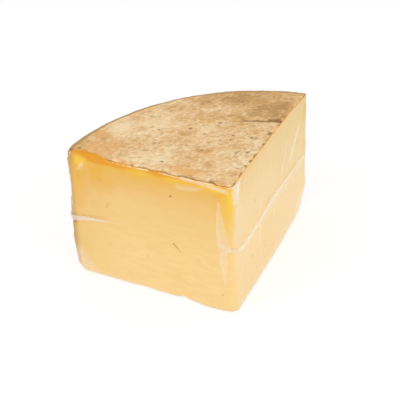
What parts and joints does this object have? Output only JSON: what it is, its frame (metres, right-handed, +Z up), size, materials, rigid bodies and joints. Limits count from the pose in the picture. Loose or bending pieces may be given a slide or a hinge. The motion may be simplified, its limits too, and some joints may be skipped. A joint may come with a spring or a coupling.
{
  "type": "cheddar wedge",
  "caption": "Wedge cut from a cloth-aged cheddar wheel, with flat cut faces and a mottled tan rind on top and round the back, sealed in tight clear film.",
  "frame": {"origin": "middle of the wedge's box on the surface that it stands on", "axes": "+Z up out of the rind top, +Y from the point of the wedge to the curved back, +X to the right across the wedge"},
  "size_m": [0.2236, 0.1542, 0.1256],
  "materials": {
    "cheese": "smooth pale yellow paste, deeper orange under a mottled tan cloth rind",
    "film": "glossy clear film, milky at the weld and the creases"
  },
  "bodies": {
    "root": {"wrapped_wedge": "cheese"}
  },
  "joints": []
}
